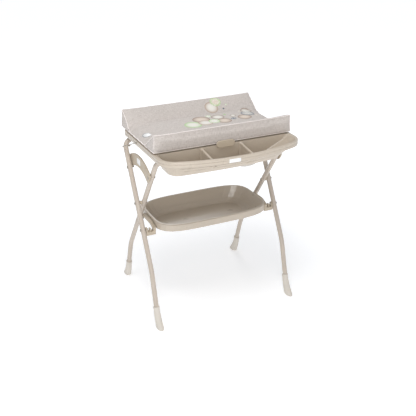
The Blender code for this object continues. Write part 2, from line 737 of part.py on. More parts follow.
# ---- Mat ---------------------------------------------------------------------------------------------
def build_mat():
    front, rear = MAT_Y
    crest = 0.012
    slope_top = MAT_TOP - 0.004
    outline = [
        (front, MAT_BOTTOM),
        (rear, MAT_BOTTOM),
        (rear, MAT_TOP - 0.006),
        (rear - crest / 2, MAT_TOP),
        (rear - crest * 1.5, slope_top),
        (rear - BOLSTER_FOOT, MAT_BED),
        (front + BOLSTER_FOOT, MAT_BED),
        (front + crest * 1.5, slope_top),
        (front + crest / 2, MAT_TOP),
        (front, MAT_TOP - 0.006),
    ]
    place("changing_mat", prism_mesh("changing_mat", outline, -MAT_HALF_X, MAT_HALF_X), COVER)
    low, high = zip((-BOARD_HALF_X, BOARD_HALF_X), BOARD_Y, BOARD_Z)
    board = place("mat_board", box_mesh("mat_board", low, high), BOARD)
    for side in (-1, 1):
        low_x, high_x = x_span(side, MAT_HINGE_X - 0.021, MAT_HINGE_X + 0.021)
        rebate_low = (low_x, BOARD_Y[1] - 0.026, BOARD_Z[0] - 0.01)
        rebate_high = (high_x, BOARD_Y[1] + 0.01, BOARD_Z[0] + 0.0042)
        cut(board, box_mesh("rebate", rebate_low, rebate_high))
        mat_hinge(side)
    build_handle()


def mat_hinge(side):
    """A barrel on a leaf under the board, and a pin between two ears on the bath's rear rim."""
    word = side_name(side)
    y, z = MAT_HINGE_Y, MAT_HINGE_Z
    half = 0.020
    low_x, high_x = x_span(side, MAT_HINGE_X - half, MAT_HINGE_X + half)
    barrel = cylinder_mesh(f"mat_leaf_{word}", (low_x, y, z), (high_x, y, z), 0.0048, 20)
    leaf = place(f"mat_leaf_{word}", barrel, PLASTIC)
    plate = ((low_x, BOARD_Y[1] - 0.025, BOARD_Z[0] + GAP), (high_x, y - 0.001, BOARD_Z[0] + 0.0038))
    join(leaf, box_mesh("plate", *plate))
    cut(leaf, cylinder_mesh("pin_bore", (low_x - WALL, y, z), (high_x + WALL, y, z), 0.0025 + GAP, 16))
    pin_low, pin_high = low_x - 0.0045, high_x + 0.0045
    pin = cylinder_mesh("pin", (pin_low, y, z), (pin_high, y, z), 0.0025, 16)
    base = place(f"mat_hinge_base_{word}", pin, PLASTIC)
    for ear_low in (low_x - 0.0045, high_x + 0.0005):
        ear = [(y + 0.0042, z - 0.001), (y + 0.003, z + 0.0032), (y - 0.003, z + 0.0032)]
        ear += [(y - 0.0042, z - 0.001), (y - 0.0042, z - 0.013), (y + 0.0042, z - 0.013)]
        join(base, prism_mesh("ear", ear, ear_low, ear_low + 0.004))
    saddle = ((pin_low, RIM_REAR_Y + GAP, z - 0.014), (pin_high, y + 0.0042, z - 0.0085))
    join(base, box_mesh("saddle", *saddle))


def build_handle():
    """A pill-shaped pull on the front of the board, which hangs over the rear of the tray."""
    half_length, half_height = 0.049, 0.0175
    middle_z, face_y = 0.9175, -0.2065
    straight = half_length - half_height
    outline = arc((straight, middle_z), half_height, -90, 90, 10)
    outline += arc((-straight, middle_z), half_height, 90, 270, 10)
    rings = []
    for inset, y in ((0.0, face_y), (0.0, face_y - 0.0035), (0.002, face_y - 0.0052)):
        narrow, shrink = 1 - inset / half_length, 1 - inset / half_height
        rings.append([(x * narrow, y, middle_z + (z - middle_z) * shrink) for x, z in outline])
    handle = place("lift_handle", loft_mesh("lift_handle", rings), PLASTIC)
    neck = ((-0.030, face_y - 0.001, BOARD_Z[0] + GAP), (0.030, BOARD_Y[0] - GAP, MAT_BOTTOM - 0.0008))
    join(handle, box_mesh("neck", *neck))


# ---- Basin -------------------------------------------------------------------------------------------
def build_basin():
    rim_x, rim_y = BASIN_HALF

    def rim(inset, z):
        low, high = BASIN_MIDDLE_Y - rim_y + inset, BASIN_MIDDLE_Y + rim_y - inset
        return squircle(rim_x - inset, low, high, z, BASIN_SQUARENESS, 56)

    lip_x = rim_x - BASIN_LIP
    lip_y = (BASIN_MIDDLE_Y - rim_y + BASIN_LIP, BASIN_MIDDLE_Y + rim_y - BASIN_LIP)

    def wall(drop, inset, grow):
        half_x = between((lip_x, BASIN_FLOOR_HALF_X), inset) + grow
        low = between((lip_y[0], BASIN_FLOOR_Y[0]), inset) - grow
        high = between((lip_y[1], BASIN_FLOOR_Y[1]), inset) + grow
        z = between((BASIN_RIM, BASIN_FLOOR), drop) - grow
        return squircle(half_x, low, high, z, BASIN_SQUARENESS, 56)

    shares = ((0.0, 0.0), (0.35, 0.24), (0.70, 0.56), (0.90, 0.84), (1.0, 1.06))
    inside = [wall(drop, inset, 0.0) for drop, inset in shares]
    outside = [wall(drop, inset, WALL) for drop, inset in shares]
    roll = [
        rim(0.0050, BASIN_RIM),
        rim(0.0012, BASIN_RIM - 0.0035),
        rim(0.0, BASIN_SKIRT + 0.004),
        rim(0.0012, BASIN_SKIRT),
        rim(WALL, BASIN_SKIRT),
        rim(WALL + 0.001, BASIN_RIM - WALL - 0.0005),
    ]
    place("storage_basin", loft_mesh("storage_basin", inside[::-1] + roll + outside), PLASTIC)


def basin_bracket(side):
    """An arched side rail under the basin's end, with an arm out to the outer leg and a foot on the peg."""
    name = f"basin_bracket_{side_name(side)}"
    peg_y, peg_z = BASIN_PEG
    pivot_y, pivot_z = BASIN_PIVOT
    foot_z = peg_z + PEG_R + GAP
    crown = BASIN_RIM - 0.010
    thick = 0.017
    top, low = [], []
    steps = 14
    for i in range(steps + 1):
        share = i / steps
        y = peg_y + 0.012 + (pivot_y - 0.014 - peg_y - 0.012) * share
        rise = 1 - (2 * share - 1) ** 2
        z = foot_z + (crown - thick - foot_z) * min(rise * 1.25, 1.0)
        low.append((y, z))
        top.append((y, z + thick))
    obj = place(name, prism_mesh(name, top + low[::-1], *x_span(side, *BRACKET_X)), PLASTIC)
    lug_low, lug_high = OUTER_X - TUBE_R - 0.0085, OUTER_X - TUBE_R - 0.0015
    arm_z = (pivot_z - 0.031, pivot_z - 0.012)
    arm_x = x_span(side, BRACKET_X[0] + 0.001, lug_high - 0.001)
    join(obj, box_mesh("arm", (arm_x[0], pivot_y - 0.012, arm_z[0]), (arm_x[1], pivot_y + 0.012, arm_z[1])))
    post_x = x_span(side, BRACKET_X[0] + 0.0005, BRACKET_X[1] - 0.0005)
    lug_r = 0.0115
    post_low = (post_x[0], pivot_y - lug_r, arm_z[0] + 0.001)
    post_high = (post_x[1], pivot_y + lug_r, foot_z + 0.012)
    join(obj, box_mesh("post", post_low, post_high))
    lug = arc((pivot_y, pivot_z), lug_r, 0, 180, 10)
    lug += [(pivot_y - lug_r, arm_z[0] + 0.0005), (pivot_y + lug_r, arm_z[0] + 0.0005)]
    join(obj, prism_mesh("lug", lug, *x_span(side, lug_low, lug_high)))
    bore = x_span(side, lug_low - WALL, lug_high + WALL)
    bore_ends = ((bore[0], pivot_y, pivot_z), (bore[1], pivot_y, pivot_z))
    cut(obj, cylinder_mesh("bore", *bore_ends, RIVET_R + BORE_CLEARANCE, 16))
    tooth_x = x_span(side, 0.3365, 0.3435)
    tooth_low = (tooth_x[0], pivot_y - 0.008, arm_z[1] - 0.002)
    tooth_high = (tooth_x[1], pivot_y + 0.008, arm_z[1] + 0.016)
    join(obj, box_mesh("tooth", tooth_low, tooth_high))
    return obj


# ---- Assembly ----------------------------------------------------------------------------------------
build_stand()
for one_side in (-1, 1):
    lock_arm(one_side)
    tub_hinge(one_side)
    basin_bracket(one_side)
build_bath()
build_drain()
build_hose()
build_mat()
build_basin()


# ---- Joint axes --------------------------------------------------------------------------------------
def hang(name, point, pieces):
    """An empty on a joint's axis, given as (y, z), that carries the pieces which turn or slide there."""
    axis = bpy.data.objects.new(name, None)
    axis.location = (0.0, *point) if len(point) == 2 else point
    axis.empty_display_size = 0.05
    TABLE.objects.link(axis)
    bpy.context.view_layer.update()
    for piece in pieces:
        part = bpy.data.objects[piece]
        part.parent = axis
        part.matrix_parent_inverse = axis.matrix_world.inverted()


def both(*names):
    """The left and right pieces of each name."""
    return [f"{name}_{side_name(side)}" for name in names for side in (-1, 1)]


INNER_FRAME = ["inner_cross_tube", *both("inner_leg", "rear_foot", "lock_rivet", "basin_peg")]
BATH = ["bath_tub", "drain_fitting", "drain_hose", "hose_holder", *both("tub_hinge", "mat_hinge_base")]
MAT = ["changing_mat", "mat_board", "lift_handle", *both("mat_leaf")]
hang("frame_fold_axis", LEG_PIVOT, INNER_FRAME)
hang("bath_tilt_axis", OUTER_TOP, BATH)
hang("plug_lift_axis", (*DRAIN, BATH_FLOOR), ["drain_plug"])
hang("mat_lift_axis", (MAT_HINGE_Y, MAT_HINGE_Z), MAT)
hang("basin_tilt_axis", BASIN_PIVOT, ["storage_basin", *both("basin_bracket")])
for one_side in (-1, 1):
    word = side_name(one_side)
    hang(f"lock_axis_{word}", LOCK_PIVOT, [f"lock_arm_{word}"])
    hang(f"stay_axis_{word}", STAY_PIVOT, [f"stay_wire_{word}", f"stay_cap_{word}"])
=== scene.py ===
"""Changing table: the looks of a folding stand with a baby bath, a padded mat and a storage basin.

Metres, +Z up, -Y the front and -X the left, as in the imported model.
"""

import json
import math

import bmesh
import bpy
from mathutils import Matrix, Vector, noise
from mathutils.bvhtree import BVHTree


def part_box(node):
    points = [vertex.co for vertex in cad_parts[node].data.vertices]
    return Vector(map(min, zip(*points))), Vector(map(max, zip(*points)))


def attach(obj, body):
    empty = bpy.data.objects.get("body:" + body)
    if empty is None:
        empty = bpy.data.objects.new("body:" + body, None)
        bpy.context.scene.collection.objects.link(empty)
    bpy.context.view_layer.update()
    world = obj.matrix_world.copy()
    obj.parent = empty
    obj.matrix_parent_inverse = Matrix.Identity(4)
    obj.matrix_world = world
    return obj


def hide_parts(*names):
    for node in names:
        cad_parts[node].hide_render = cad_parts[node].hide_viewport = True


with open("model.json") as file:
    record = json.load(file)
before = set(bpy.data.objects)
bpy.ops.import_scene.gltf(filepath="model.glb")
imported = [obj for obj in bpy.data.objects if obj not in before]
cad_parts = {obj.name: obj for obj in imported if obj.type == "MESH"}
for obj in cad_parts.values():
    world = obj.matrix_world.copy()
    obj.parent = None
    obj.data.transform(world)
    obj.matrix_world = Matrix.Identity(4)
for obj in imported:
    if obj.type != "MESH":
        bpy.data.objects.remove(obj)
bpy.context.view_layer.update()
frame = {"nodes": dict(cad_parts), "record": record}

# ---- Camera, light and floor -------------------------------------------------------------------------
CAMERA_AT = (-1.443, -3.049, 2.083)
CAMERA_DOWN = 25.28  # degrees below the horizon
CAMERA_TURN = -25.42
CAMERA_LENS = 61.68  # mm, on a sensor 36 mm wide
FLOOR_HALF = 40.0
SKY_COLOUR = (0.97, 0.985, 1.0, 1.0)
SKY_STRENGTH = 0.52
# The lamps: name, place, what it points at, width and power in watts.
LAMPS = (
    ("key", (-0.7, -0.9, 3.4), (0.0, 0.0, 0.6), 1.3, 40.0),
    ("fill", (-1.3, -3.1, 1.35), (0.0, 0.0, 0.5), 1.2, 28.0),
    ("back", (0.9, 2.8, 2.6), (0.0, 0.0, 0.6), 1.2, 16.0),
)

# ---- Mat ---------------------------------------------------------------------------------------------
MAT_LOW, MAT_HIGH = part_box("changing_mat")
MAT_END = MAT_HIGH[0]
BED_Z = MAT_LOW[2] + 0.0272  # where the baby lies
BOLSTER_FOOT = 0.098  # width of a bolster at the bed
BOLSTER_BASE = 0.134  # and at the board
CREASE_Y = MAT_HIGH[1] - BOLSTER_FOOT
VOXEL = 0.0058
BOLSTER_SWELL = 0.0042  # the most that the simulation may move a point
PAD_SWELL = 0.0034
SIM_FRAMES = 20
REACH = 0.003  # how far the mat may stand out past the CAD's mat
END_TAPER = 0.055  # length over which the pad thins towards its welded end
PAD_COLUMNS = 96
PAD_TUCK = 0.022  # how far the pad runs in under each bolster
WELD_THICK = 0.0026  # of the pad at its welded ends
WELD_R = 0.0016
GATHER = 0.085  # length of the wrinkles at the pad's ends
THREAD = 0.0007  # from one thread of the cover to the next

# ---- Bath --------------------------------------------------------------------------------------------
BATH_LOW, BATH_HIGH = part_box("bath_tub")
BOW_RADIUS = 0.93  # of the tray's front, seen from above
HOSE_R = 0.0075
HOSE_ROUTE = (
    (0.1600, -0.008, 0.7440),
    (0.1610, -0.010, 0.7350),
    (0.1655, -0.013, 0.7230),
    (0.1745, -0.017, 0.7130),
    (0.1890, -0.021, 0.7065),
    (0.2080, -0.025, 0.7040),
    (0.2290, -0.028, 0.7045),
    (0.2500, -0.030, 0.7085),
    (0.2680, -0.031, 0.7175),
    (0.2810, -0.031, 0.7320),
    (0.2875, -0.030, 0.7500),
    (0.2890, -0.028, 0.7700),
    (0.2890, -0.028, 0.7900),
)
# The raised lines on the front of the tray's body: height, left end, right end and radius.
TRAY_LINES = (
    (0.8745, -0.285, 0.235, 0.0011),
    (0.8610, -0.265, 0.205, 0.0009),
)
TRAY_LINE_STEPS = 80
# The round mark and the square catch there: x, z, half width, half height, corner radius and height.
TRAY_MARKS = {
    "tray_knockout": (-0.140, 0.867, 0.0085, 0.0052, 0.0051, 0.0010),
    "tray_catch": (-0.118, 0.867, 0.0048, 0.0052, 0.0010, 0.0030),
}

# ---- Labels ------------------------------------------------------------------------------------------
# Sizes are half width, half height and corner radius.
BAND_LABEL_X = -0.035
BAND_LABEL_DROP = 0.0160  # below the top of the bath
BAND_LABEL = (0.029, 0.0090, 0.0015)
ARM_LABEL_Y = 0.013
ARM_LABEL_DROP = 0.030  # below the top of the lock arm
ARM_LABEL = (0.023, 0.0150, 0.0060)
MAT_LABEL_X = -0.319
MAT_LABEL = (0.020, 0.027, 0.0199)


def paint(red, green, blue):
    """A display colour, 0 to 255, as the linear colour that shaders take."""
    return (*(((part / 255 + 0.055) / 1.055) ** 2.4 for part in (red, green, blue)), 1.0)


# ---- Material building -------------------------------------------------------------------------------
class Look:
    """A material's node tree, with short ways to add to it."""

    def __init__(self, name, roughness=0.5, **sockets):
        self.material = bpy.data.materials.new(name)
        self.material.use_nodes = True
        self.tree = self.material.node_tree
        self.shader = self.tree.nodes["Principled BSDF"]
        self.place = self.add("ShaderNodeTexCoord").outputs["Object"]
        self.feed(self.shader.inputs["Roughness"], roughness)
        for socket, value in sockets.items():
            self.feed(self.shader.inputs[socket.replace("_", " ")], value)

    def feed(self, socket, value):
        if isinstance(value, bpy.types.NodeSocket):
            self.tree.links.new(value, socket)
        else:
            socket.default_value = value

    def add(self, kind, inputs=(), **settings):
        node = self.tree.nodes.new(kind)
        for key, value in settings.items():
            setattr(node, key, value)
        for key, value in dict(inputs).items():
            self.feed(node.inputs[key], value)
        return node

    def calc(self, operation, *values, clamp=False):
        node = self.add("ShaderNodeMath", enumerate(values), operation=operation, use_clamp=clamp)
        return node.outputs[0]

    def stretched(self, scale):
        """The object coordinates, scaled by (x, y, z)."""
        return self.add("ShaderNodeMapping", {"Vector": self.place, "Scale": scale}).outputs[0]

    def noise(self, scale, detail=3.0, where=None):
        inputs = {"Vector": where or self.place, "Scale": scale, "Detail": detail}
        return self.add("ShaderNodeTexNoise", inputs).outputs[0]

    def spread(self, value, low, high):
        """A value between 0 and 1, taken to the range low to high."""
        inputs = {"Value": value, "From Min": 0.25, "From Max": 0.75, "To Min": low, "To Max": high}
        return self.add("ShaderNodeMapRange", inputs).outputs[0]

    def mix(self, share, first, second, blend="MIX"):
        inputs = {0: share, 6: first, 7: second}
        node = self.add("ShaderNodeMix", inputs, data_type="RGBA", blend_type=blend)
        return node.outputs[2]

    def bump(self, height, strength, distance, under=None):
        inputs = {"Height": height, "Strength": strength, "Distance": distance}
        if under:
            inputs["Normal"] = under
        return self.add("ShaderNodeBump", inputs).outputs[0]

    def finish(self, colour, normal=None):
        self.feed(self.shader.inputs["Base Color"], colour)
        if normal:
            self.feed(self.shader.inputs["Normal"], normal)
        return self.material

    def soft_edge(self, radius):
        """The shading normal with every edge rounded a little, as a mould leaves it."""
        return self.add("ShaderNodeBevel", {"Radius": radius}, samples=6).outputs[0]

    def worn(self, colour, bare, amount):
        """The colour, rubbed towards a lighter one along the edges."""
        facing = self.add("ShaderNodeNewGeometry").outputs["Normal"]
        pair = {0: facing, 1: self.soft_edge(0.0012)}
        flat = self.add("ShaderNodeVectorMath", pair, operation="DOT_PRODUCT").outputs["Value"]
        inputs = {"Value": flat, "From Min": 0.995, "From Max": 0.85, "To Min": 0.0, "To Max": amount}
        rubbed = self.add("ShaderNodeMapRange", inputs).outputs[0]
        patchy = self.calc("MULTIPLY", rubbed, self.spread(self.noise(60.0), 0.3, 1.0))
        return self.mix(patchy, colour, bare)


# ---- Materials ---------------------------------------------------------------------------------------
def powder_coat():
    """The baked paint of the tubes, with a faint orange peel."""
    look = Look("powder_coat", Coat_Weight=0.12, Coat_Roughness=0.25)
    tone = look.mix(look.noise(9.0), paint(188, 176, 163), paint(194, 183, 171))
    tone = look.worn(tone, paint(206, 198, 186), 0.5)
    look.feed(look.shader.inputs["Roughness"], look.spread(look.noise(45.0), 0.32, 0.44))
    peel = look.bump(look.noise(520.0, 2.0), 0.16, 0.0006, look.soft_edge(0.0008))
    return look.finish(tone, peel)


def moulded_gloss():
    """The satin gloss polypropylene of the bath and the basin."""
    look = Look("moulded_gloss", Coat_Weight=0.3, Coat_Roughness=0.12)
    tone = look.mix(look.noise(3.0, 1.0), paint(190, 178, 162), paint(193, 181, 166))
    look.feed(look.shader.inputs["Roughness"], look.spread(look.noise(18.0, 1.0), 0.27, 0.33))
    return look.finish(tone, look.bump(look.noise(650.0, 1.0), 0.04, 0.0003))


def matt_plastic(name, dark, light, grain):
    """Moulded plastic with the fine spark texture of its tool."""
    look = Look(name)
    tone = look.worn(look.mix(look.noise(14.0), paint(*dark), paint(*light)), paint(*light), 0.4)
    look.feed(look.shader.inputs["Roughness"], look.spread(look.noise(80.0), 0.42, 0.56))
    spark = look.bump(look.noise(grain, 4.0), 0.22, 0.0005, look.soft_edge(0.0009))
    return look.finish(tone, spark)


def zinc():
    """Zinc-plated steel, with faint drawing marks along Z."""
    look = Look("zinc", Metallic=0.85)
    tone = look.mix(look.noise(90.0, 5.0), paint(150, 143, 132), paint(188, 182, 172))
    look.feed(look.shader.inputs["Roughness"], look.spread(look.noise(140.0), 0.28, 0.46))
    drawn = look.noise(1.0, 2.0, look.stretched((500.0, 500.0, 2500.0)))
    return look.finish(tone, look.bump(drawn, 0.12, 0.0003, look.soft_edge(0.0004)))


def vinyl():
    """The hazy clear vinyl of the drain hose."""
    look = Look("vinyl", roughness=0.22, Transmission_Weight=0.2, IOR=1.45)
    tone = look.mix(look.noise(70.0), paint(222, 217, 209), paint(236, 232, 226))
    return look.finish(tone, look.bump(look.noise(160.0), 0.1, 0.0006))


def label_stock(name, dark, light):
    """Blank label film."""
    look = Look(name, roughness=0.3, Coat_Weight=0.3)
    tone = look.mix(look.noise(120.0), dark, light)
    return look.finish(tone, look.bump(look.noise(380.0), 0.08, 0.0003))


def floor_look():
    """A pale floor with a glow of its own, weaker round the object so that shadows show there."""
    look = Look("floor", roughness=0.75)
    tone = look.mix(look.noise(0.8), paint(249, 250, 252), paint(252, 252, 253))
    look.feed(look.shader.inputs["Emission Color"], (0.97, 0.98, 1.0, 1.0))
    far = look.add("ShaderNodeVectorMath", {0: look.place}, operation="LENGTH").outputs["Value"]
    inputs = {"Value": far, "From Min": 0.8, "From Max": 2.6, "To Min": 0.27, "To Max": 0.52}
    rising = look.add("ShaderNodeMapRange", inputs, interpolation_type="SMOOTHSTEP").outputs[0]
    look.feed(look.shader.inputs["Emission Strength"], rising)
    return look.finish(tone)


class Cover(Look):
    """The mat's cover: a fine melange weave, coated, with a pale pattern printed over it."""

    def threads(self):
        """(along the length, across it): coordinates that follow the cloth over slopes and ends."""
        split = self.add("ShaderNodeSeparateXYZ", {0: self.place})
        facing = self.add("ShaderNodeSeparateXYZ", {0: self.add("ShaderNodeNewGeometry").outputs["Normal"]})
        above = self.calc("SUBTRACT", split.outputs[2], BED_Z)
        found = []
        for axis in (0, 1):
            tilt = self.calc("MULTIPLY", facing.outputs[axis], 4.0)
            tilt = self.calc("MINIMUM", self.calc("MAXIMUM", tilt, -1.0), 1.0)
            found.append(self.calc("SUBTRACT", split.outputs[axis], self.calc("MULTIPLY", above, tilt)))
        return found

    def weave(self, along, across):
        """Height of the threads."""
        pitch = 2 * math.pi / THREAD
        warp = self.calc("SINE", self.calc("MULTIPLY", along, pitch))
        weft = self.calc("SINE", self.calc("MULTIPLY", across, pitch))
        return self.calc("MULTIPLY_ADD", self.calc("MULTIPLY", warp, weft), 0.5, 0.5)

    def melange(self, along, across):
        """Slubs that run along both thread directions, as a share between 0 and 1."""
        slubs = []
        for scale in ((48.0, 330.0), (330.0, 48.0)):
            where = self.add("ShaderNodeCombineXYZ", {0: along, 1: across}).outputs[0]
            where = self.add("ShaderNodeMapping", {"Vector": where, "Scale": (*scale, 1.0)}).outputs[0]
            slubs.append(self.noise(1.0, 2.0, where))
        return self.calc("MULTIPLY_ADD", self.calc("ADD", *slubs), 0.5, 0.0)

    def disc(self, centre, radius, u, v, soft=0.0006):
        """1 inside a round spot of the print and 0 outside it, and the distance from its middle."""
        squares = [
            self.calc("POWER", self.calc("SUBTRACT", place, middle), 2.0)
            for place, middle in zip((u, v), centre)
        ]
        far = self.calc("SQRT", self.calc("ADD", *squares))
        inputs = {"Value": far, "From Min": radius - soft, "From Max": radius + soft}
        inside = self.add("ShaderNodeMapRange", {**inputs, "To Min": 1.0, "To Max": 0.0}).outputs[0]
        return inside, far

    def spot(self, colour, centre, radius, fill, rim, style, u, v):
        """The colour with one printed spot over it: a shaded ball with dots, bands or nothing in it."""
        inside, far = self.disc(centre, radius, u, v)
        share = self.calc("DIVIDE", far, radius)
        shading = self.calc("POWER", self.calc("MINIMUM", share, 1.0), 3.0)
        ball = self.mix(shading, fill, rim)
        where = self.add("ShaderNodeCombineXYZ", {0: u, 1: v}).outputs[0]
        if style == "dots":
            inputs = {"Vector": where, "Scale": 130.0, "Randomness": 0.3}
            cells = self.add("ShaderNodeTexVoronoi", inputs)
            dots = self.calc("LESS_THAN", cells.outputs["Distance"], 0.30)
            ball = self.mix(self.calc("MULTIPLY", dots, 0.8), ball, paint(250, 250, 246))
        elif style == "bands":
            wave = self.calc("SINE", self.calc("MULTIPLY", self.calc("ADD", u, v), 620.0))
            bands = self.calc("GREATER_THAN", wave, 0.1)
            ball = self.mix(self.calc("MULTIPLY", bands, 0.55), ball, rim)
        return self.mix(self.calc("MULTIPLY", inside, 0.92), colour, ball)


CREAM = paint(220, 205, 190)
WHITE = paint(232, 229, 221)
TAN = paint(164, 136, 114)
BROWN = paint(126, 94, 74)
GREEN = paint(150, 194, 112)
NAVY = paint(78, 88, 104)
# The print's spots: middle (along the length, across it), radius, fill, rim and style.
SPOTS = (
    ((0.110, 0.184), 0.036, WHITE, TAN, "plain"),
    ((0.146, 0.218), 0.030, CREAM, GREEN, "dots"),
    ((0.197, 0.190), 0.005, WHITE, GREEN, "plain"),
    ((0.174, 0.167), 0.005, NAVY, NAVY, "plain"),
    ((0.060, 0.112), 0.014, WHITE, GREEN, "dots"),
    ((0.005, 0.078), 0.045, CREAM, BROWN, "plain"),
    ((-0.065, 0.020), 0.044, WHITE, GREEN, "plain"),
    ((0.006, 0.024), 0.038, WHITE, TAN, "plain"),
    ((0.099, 0.080), 0.034, WHITE, BROWN, "plain"),
    ((0.107, 0.016), 0.036, CREAM, BROWN, "plain"),
    ((0.056, 0.030), 0.029, WHITE, GREEN, "dots"),
    ((0.150, 0.104), 0.007, GREEN, GREEN, "plain"),
    ((0.182, 0.072), 0.016, WHITE, BROWN, "plain"),
    ((0.163, 0.028), 0.015, NAVY, NAVY, "dots"),
    ((0.226, 0.026), 0.036, CREAM, BROWN, "plain"),
    ((0.284, 0.122), 0.030, WHITE, BROWN, "plain"),
    ((0.268, 0.074), 0.036, WHITE, NAVY, "bands"),
    ((0.305, 0.040), 0.014, WHITE, TAN, "plain"),
    ((0.244, 0.124), 0.008, WHITE, TAN, "plain"),
)


def mat_cover(printed):
    """The mat's cloth, with the print or without it."""
    name = "mat_cover_printed" if printed else "mat_cover"
    look = Cover(name, Sheen_Weight=0.18, Sheen_Roughness=0.5)
    along, across = look.threads()
    slubs = look.melange(along, across)
    tone = look.mix(look.spread(slubs, -0.2, 1.2), paint(170, 161, 154), paint(211, 204, 199))
    tone = look.mix(look.spread(look.noise(7.0), 0.0, 0.35), tone, paint(206, 196, 190))
    if printed:
        slope = math.hypot(BOLSTER_FOOT, MAT_HIGH[2] - BED_Z) / BOLSTER_FOOT
        y = look.add("ShaderNodeSeparateXYZ", {0: look.place}).outputs[1]
        past = look.calc("MAXIMUM", look.calc("SUBTRACT", y, CREASE_Y), 0.0)
        v = look.calc("MULTIPLY_ADD", past, slope - 1.0, y)
        u = look.add("ShaderNodeSeparateXYZ", {0: look.place}).outputs[0]
        for spot in SPOTS:
            tone = look.spot(tone, *spot, u, v)
    look.feed(look.shader.inputs["Roughness"], look.spread(slubs, 0.62, 0.80))
    height = look.bump(look.weave(along, across), 0.35, 0.0002)
    height = look.bump(slubs, 0.25, 0.0004, height)
    return look.finish(tone, look.bump(look.noise(38.0), 0.12, 0.002, height))


def weld_look():
    """The cover where it is folded and welded: paler, smoother and finely grained."""
    look = Look("mat_weld", roughness=0.55, Sheen_Weight=0.1)
    tone = look.mix(look.noise(300.0), paint(232, 223, 219), paint(243, 236, 233))
    grain = look.noise(1.0, 1.0, look.stretched((1400.0, 1400.0, 1400.0)))
    return look.finish(tone, look.bump(grain, 0.3, 0.0003))


# ---- Mesh building -----------------------------------------------------------------------------------
def piece(name, form, material, body):
    """A finished piece of the object from mesh data."""
    bmesh.ops.recalc_face_normals(form, faces=form.faces)
    mesh = bpy.data.meshes.new(name)
    form.to_mesh(mesh)
    form.free()
    mesh.shade_smooth()
    mesh.set_sharp_from_angle(angle=math.radians(50))
    mesh.materials.append(material)
    made = bpy.data.objects.new(name, mesh)
    bpy.context.scene.collection.objects.link(made)
    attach(made, body)
    return made


def smooth_route(points, steps=6):
    """Points along a Catmull-Rom curve through the given ones."""
    points = [Vector(point) for point in points]
    padded = [2 * points[0] - points[1], *points, 2 * points[-1] - points[-2]]
    curve = []
    for a, b, c, d in zip(padded, padded[1:], padded[2:], padded[3:]):
        for step in range(steps):
            t = step / steps
            bend = 2 * a - 5 * b + 4 * c - d
            twist = 3 * b - a - 3 * c + d
            curve.append(0.5 * (2 * b + (c - a) * t + bend * t**2 + twist * t**3))
    return curve + [points[-1]]


def skin(form, rings):
    """Faces between each ring of vertices and the next one."""
    count = len(rings[0])
    for ring, following in zip(rings, rings[1:]):
        for k in range(count):
            j = (k + 1) % count
            form.faces.new((ring[k], ring[j], following[j], following[k]))


def sweep(form, route, radii, sides, flatten=(1.0, 1.0)):
    """A tube with flat ends along the route. radii is one radius, or one for each point."""
    rings = []
    up = Vector((0, 0, 1))
    for i, point in enumerate(route):
        before = route[max(i - 1, 0)]
        after = route[min(i + 1, len(route) - 1)]
        along = (after - before).normalized()
        side = along.cross(up)
        if side.length < 0.05:
            side = along.cross(Vector((0, 1, 0)))
        side.normalize()
        top = side.cross(along)
        radius = radii[i] if isinstance(radii, list) else radii
        ring = []
        for k in range(sides):
            angle = 2 * math.pi * k / sides
            offset = side * math.cos(angle) * flatten[0] + top * math.sin(angle) * flatten[1]
            ring.append(form.verts.new(point + offset * radius))
        rings.append(ring)
    skin(form, rings)
    form.faces.new(rings[0])
    form.faces.new(list(reversed(rings[-1])))


def surface_of(thing):
    """A tree of the object's faces, to find points of its surface."""
    verts = [vert.co.copy() for vert in thing.data.vertices]
    faces = [list(face.vertices) for face in thing.data.polygons]
    return BVHTree.FromPolygons(verts, faces)


def hug(tree, start, end, count, lift):
    """Points on the surface along the line from start to end, lifted off it a little."""
    found = []
    for i in range(count + 1):
        spot, normal, _, _ = tree.find_nearest(Vector(start).lerp(Vector(end), i / count))
        found.append(spot + normal * lift)
    return found


# ---- Mat ---------------------------------------------------------------------------------------------
def wedge_profile(front):
    """A bolster seen from its end, as (y, z): flat outer face, rounded crest and a long inner slope."""
    base_z, top_z = MAT_LOW[2], MAT_HIGH[2] - 0.0015
    outer = MAT_LOW[1] if front else MAT_HIGH[1]
    inward = 1 if front else -1
    crest = []
    for i in range(5):
        angle = math.radians(180 - 34 * i)
        crest.append((0.005 + 0.004 * math.cos(angle), top_z - 0.004 + 0.004 * math.sin(angle)))
    profile = [(0.001, base_z), *crest, (BOLSTER_BASE, base_z)]
    return [(outer + inward * y, z) for y, z in profile]


def prism(profile, half_length):
    """The profile, drawn out along the length of the mat."""
    form = bmesh.new()
    ends = [[form.verts.new((x, y, z)) for y, z in profile] for x in (-half_length, half_length)]
    skin(form, ends)
    form.faces.new(ends[0])
    form.faces.new(list(reversed(ends[1])))
    return form


def pad_form():
    """The pad between the bolsters: even in the middle, thinning to a welded edge at its two ends."""
    form = bmesh.new()
    base_z = MAT_LOW[2]
    low_y = MAT_LOW[1] + BOLSTER_FOOT - PAD_TUCK
    high_y = MAT_HIGH[1] - BOLSTER_FOOT + PAD_TUCK
    rows = []
    for i in range(PAD_COLUMNS + 1):
        x = -MAT_END + 2 * MAT_END * i / PAD_COLUMNS
        into = min((MAT_END - abs(x)) / END_TAPER, 1.0)
        rise = (BED_Z - base_z - 0.001 - WELD_THICK) * math.sin(into * math.pi / 2) ** 0.8
        top = base_z + (WELD_THICK + rise)
        corners = ((low_y, base_z), (low_y, top), (high_y, top), (high_y, base_z))
        rows.append([form.verts.new((x, y, z)) for y, z in corners])
    skin(form, rows)
    form.faces.new(rows[0])
    form.faces.new(list(reversed(rows[-1])))
    return form


